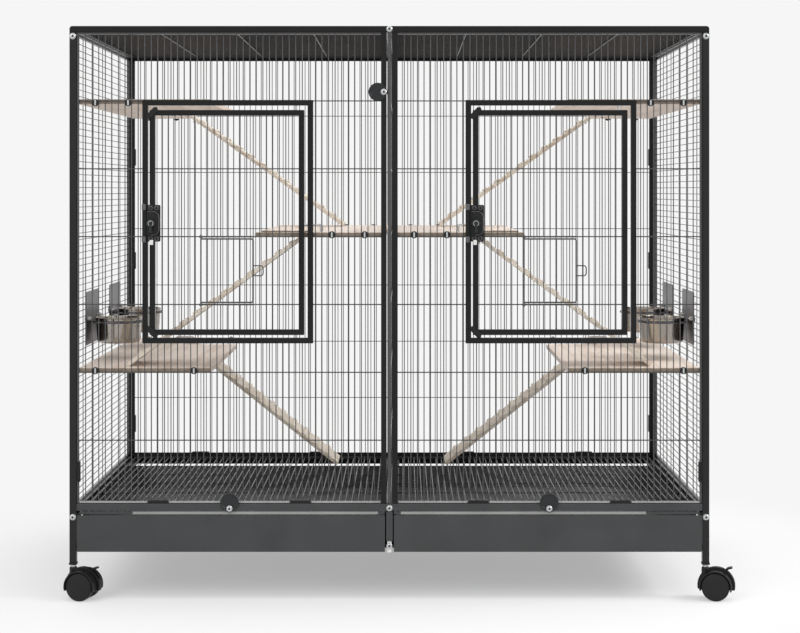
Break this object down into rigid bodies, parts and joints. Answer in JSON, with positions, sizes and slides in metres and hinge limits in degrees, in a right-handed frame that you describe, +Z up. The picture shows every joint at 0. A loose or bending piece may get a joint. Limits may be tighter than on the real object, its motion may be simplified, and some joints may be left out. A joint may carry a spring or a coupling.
{
  "type": "small animal cage",
  "caption": "Wheeled two-bay wire cage with framed doors, feeding hatches, a slide-out divider, wooden shelves and ramps, hung bowls, and pull-out grates and litter drawers.",
  "frame": {"origin": "on the floor under the middle of the overall box, which is also the middle of the frame", "axes": "+X to the right as seen from the front with the doors, +Y from the front to the back, +Z up from the floor"},
  "size_m": [1.2428, 0.7302, 1.03],
  "materials": {
    "frame_paint": "semi-gloss powder coat",
    "wire_paint": "semi-gloss powder coat on wire",
    "sheet_paint": "satin powder coat on sheet",
    "black_plastic": "fine-grained moulding",
    "wheel_plastic": "moulded tread",
    "dark_gloss_plastic": "smooth moulding",
    "grey_plastic": "plain moulding",
    "zinc_steel": "bright zinc plate",
    "stainless_steel": "polished stainless steel",
    "pale_wood": "bare sanded softwood"
  },
  "bodies": {
    "frame": {"posts": "frame_paint", "roof_rails": "frame_paint", "roof_centre_beam": "frame_paint", "left_roof_panel": "wire_paint", "right_roof_panel": "wire_paint", "base_rails": "frame_paint", "base_centre_beam": "frame_paint", "grate_ledges": "sheet_paint", "drawer_runners": "sheet_paint", "drawer_centre_post": "frame_paint", "left_front_panel": "wire_paint", "right_front_panel": "wire_paint", "left_back_panel": "wire_paint", "right_back_panel": "wire_paint", "left_side_panel": "wire_paint", "right_side_panel": "wire_paint", "leg_sockets": "black_plastic", "panel_clips": "black_plastic", "frame_screws": "zinc_steel", "shelf_screws": "zinc_steel", "latch_keepers": "grey_plastic", "top_shelves": "pale_wood", "middle_shelves": "pale_wood", "lower_shelves": "pale_wood", "upper_ramps": "pale_wood", "middle_ramps": "pale_wood", "lower_ramps": "pale_wood", "ramp_hooks": "zinc_steel", "bowl_holders": "zinc_steel", "wing_nuts": "zinc_steel"},
    "divider": {"divider": "wire_paint"},
    "left_grate": {"left_grate": "wire_paint"},
    "right_grate": {"right_grate": "wire_paint"},
    "left_drawer": {"left_drawer": "sheet_paint"},
    "right_drawer": {"right_drawer": "sheet_paint"},
    "left_door": {"left_door": "wire_paint", "left_latch_body": "black_plastic"},
    "right_door": {"right_door": "wire_paint", "right_latch_body": "black_plastic"},
    "left_hatch": {"left_hatch": "wire_paint"},
    "right_hatch": {"right_hatch": "wire_paint"},
    "left_latch_knob": {"left_latch_knob": "dark_gloss_plastic"},
    "right_latch_knob": {"right_latch_knob": "dark_gloss_plastic"},
    "left_turn_disc": {"left_turn_disc": "dark_gloss_plastic"},
    "right_turn_disc": {"right_turn_disc": "dark_gloss_plastic"},
    "middle_turn_disc": {"middle_turn_disc": "dark_gloss_plastic"},
    "left_front_bowl": {"left_front_bowl": "stainless_steel"},
    "left_back_bowl": {"left_back_bowl": "stainless_steel"},
    "right_front_bowl": {"right_front_bowl": "stainless_steel"},
    "right_back_bowl": {"right_back_bowl": "stainless_steel"},
    "front_left_caster": {"front_left_caster": "black_plastic"},
    "front_left_wheels": {"front_left_wheels": "wheel_plastic"},
    "front_right_caster": {"front_right_caster": "black_plastic"},
    "front_right_wheels": {"front_right_wheels": "wheel_plastic"},
    "back_left_caster": {"back_left_caster": "black_plastic"},
    "back_left_wheels": {"back_left_wheels": "wheel_plastic"},
    "back_right_caster": {"back_right_caster": "black_plastic"},
    "back_right_wheels": {"back_right_wheels": "wheel_plastic"},
    "front_left_brake": {"front_left_brake": "black_plastic"},
    "front_right_brake": {"front_right_brake": "black_plastic"}
  },
  "joints": [
    {"name": "left_door_hinge", "type": "hinge", "parent": "frame", "child": "left_door", "pos_m": [-0.168, -0.3325, 0.675], "axis": [0, 0, 1], "range_deg": [0, 100]},
    {"name": "right_door_hinge", "type": "hinge", "parent": "frame", "child": "right_door", "pos_m": [0.413, -0.3325, 0.675], "axis": [0, 0, 1], "range_deg": [0, 100]},
    {"name": "left_hatch_hinge", "type": "hinge", "parent": "left_door", "child": "left_hatch", "pos_m": [-0.33891, -0.3345, 0.59], "axis": [0, 0, -1], "range_deg": [0, 95]},
    {"name": "right_hatch_hinge", "type": "hinge", "parent": "right_door", "child": "right_hatch", "pos_m": [0.24209, -0.3345, 0.59], "axis": [0, 0, -1], "range_deg": [0, 95]},
    {"name": "left_latch_turn", "type": "hinge", "parent": "left_door", "child": "left_latch_knob", "pos_m": [-0.426, -0.35, 0.6755], "axis": [0, -1, 0], "range_deg": [0, 90]},
    {"name": "right_latch_turn", "type": "hinge", "parent": "right_door", "child": "right_latch_knob", "pos_m": [0.155, -0.35, 0.6755], "axis": [0, -1, 0], "range_deg": [0, 90]},
    {"name": "left_disc_turn", "type": "hinge", "parent": "frame", "child": "left_turn_disc", "pos_m": [-0.287, -0.34, 0.1636], "axis": [0, -1, 0], "range_deg": [-180, 0]},
    {"name": "right_disc_turn", "type": "hinge", "parent": "frame", "child": "right_turn_disc", "pos_m": [0.287, -0.34, 0.1636], "axis": [0, -1, 0], "range_deg": [-180, 0]},
    {"name": "middle_disc_turn", "type": "hinge", "parent": "frame", "child": "middle_turn_disc", "pos_m": [-0.01, -0.34, 0.9113], "axis": [0, -1, 0], "range_deg": [-180, 0]},
    {"name": "left_drawer_slide", "type": "slide", "parent": "frame", "child": "left_drawer", "axis": [0, -1, 0], "range_m": [0, 0.55]},
    {"name": "right_drawer_slide", "type": "slide", "parent": "frame", "child": "right_drawer", "axis": [0, -1, 0], "range_m": [0, 0.55]},
    {"name": "left_grate_slide", "type": "slide", "parent": "frame", "child": "left_grate", "axis": [0, -1, 0], "range_m": [0, 0.6]},
    {"name": "right_grate_slide", "type": "slide", "parent": "frame", "child": "right_grate", "axis": [0, -1, 0], "range_m": [0, 0.6]},
    {"name": "divider_slide", "type": "slide", "parent": "frame", "child": "divider", "axis": [0, -1, 0], "range_m": [0, 0.6]},
    {"name": "left_front_bowl_lift", "type": "slide", "parent": "frame", "child": "left_front_bowl", "axis": [0, 0, 1], "range_m": [0, 0.06]},
    {"name": "left_back_bowl_lift", "type": "slide", "parent": "frame", "child": "left_back_bowl", "axis": [0, 0, 1], "range_m": [0, 0.06]},
    {"name": "right_front_bowl_lift", "type": "slide", "parent": "frame", "child": "right_front_bowl", "axis": [0, 0, 1], "range_m": [0, 0.06]},
    {"name": "right_back_bowl_lift", "type": "slide", "parent": "frame", "child": "right_back_bowl", "axis": [0, 0, 1], "range_m": [0, 0.06]},
    {"name": "front_left_swivel", "type": "hinge", "parent": "frame", "child": "front_left_caster", "pos_m": [-0.56875, -0.33125, 0.08], "axis": [0, 0, 1], "continuous": true},
    {"name": "front_left_wheel_spin", "type": "hinge", "parent": "front_left_caster", "child": "front_left_wheels", "pos_m": [-0.54991, -0.3363, 0.025], "axis": [0.2588, 0.9659, 0], "continuous": true},
    {"name": "front_right_swivel", "type": "hinge", "parent": "frame", "child": "front_right_caster", "pos_m": [0.56875, -0.33125, 0.08], "axis": [0, 0, 1], "continuous": true},
    {"name": "front_right_wheel_spin", "type": "hinge", "parent": "front_right_caster", "child": "front_right_wheels", "pos_m": [0.58759, -0.3363, 0.025], "axis": [0.2588, 0.9659, 0], "continuous": true},
    {"name": "back_left_swivel", "type": "hinge", "parent": "frame", "child": "back_left_caster", "pos_m": [-0.56875, 0.33125, 0.08], "axis": [0, 0, 1], "continuous": true},
    {"name": "back_left_wheel_spin", "type": "hinge", "parent": "back_left_caster", "child": "back_left_wheels", "pos_m": [-0.58759, 0.3363, 0.025], "axis": [0.2588, 0.9659, 0], "continuous": true},
    {"name": "back_right_swivel", "type": "hinge", "parent": "frame", "child": "back_right_caster", "pos_m": [0.56875, 0.33125, 0.08], "axis": [0, 0, 1], "continuous": true},
    {"name": "back_right_wheel_spin", "type": "hinge", "parent": "back_right_caster", "child": "back_right_wheels", "pos_m": [0.54991, 0.3363, 0.025], "axis": [0.2588, 0.9659, 0], "continuous": true},
    {"name": "front_left_brake_pivot", "type": "hinge", "parent": "front_left_caster", "child": "front_left_brake", "pos_m": [-0.53398, -0.34057, 0.042], "axis": [0.2588, 0.9659, 0], "range_deg": [0, 10]},
    {"name": "front_right_brake_pivot", "type": "hinge", "parent": "front_right_caster", "child": "front_right_brake", "pos_m": [0.60352, -0.34057, 0.042], "axis": [0.2588, 0.9659, 0], "range_deg": [0, 10]}
  ]
}
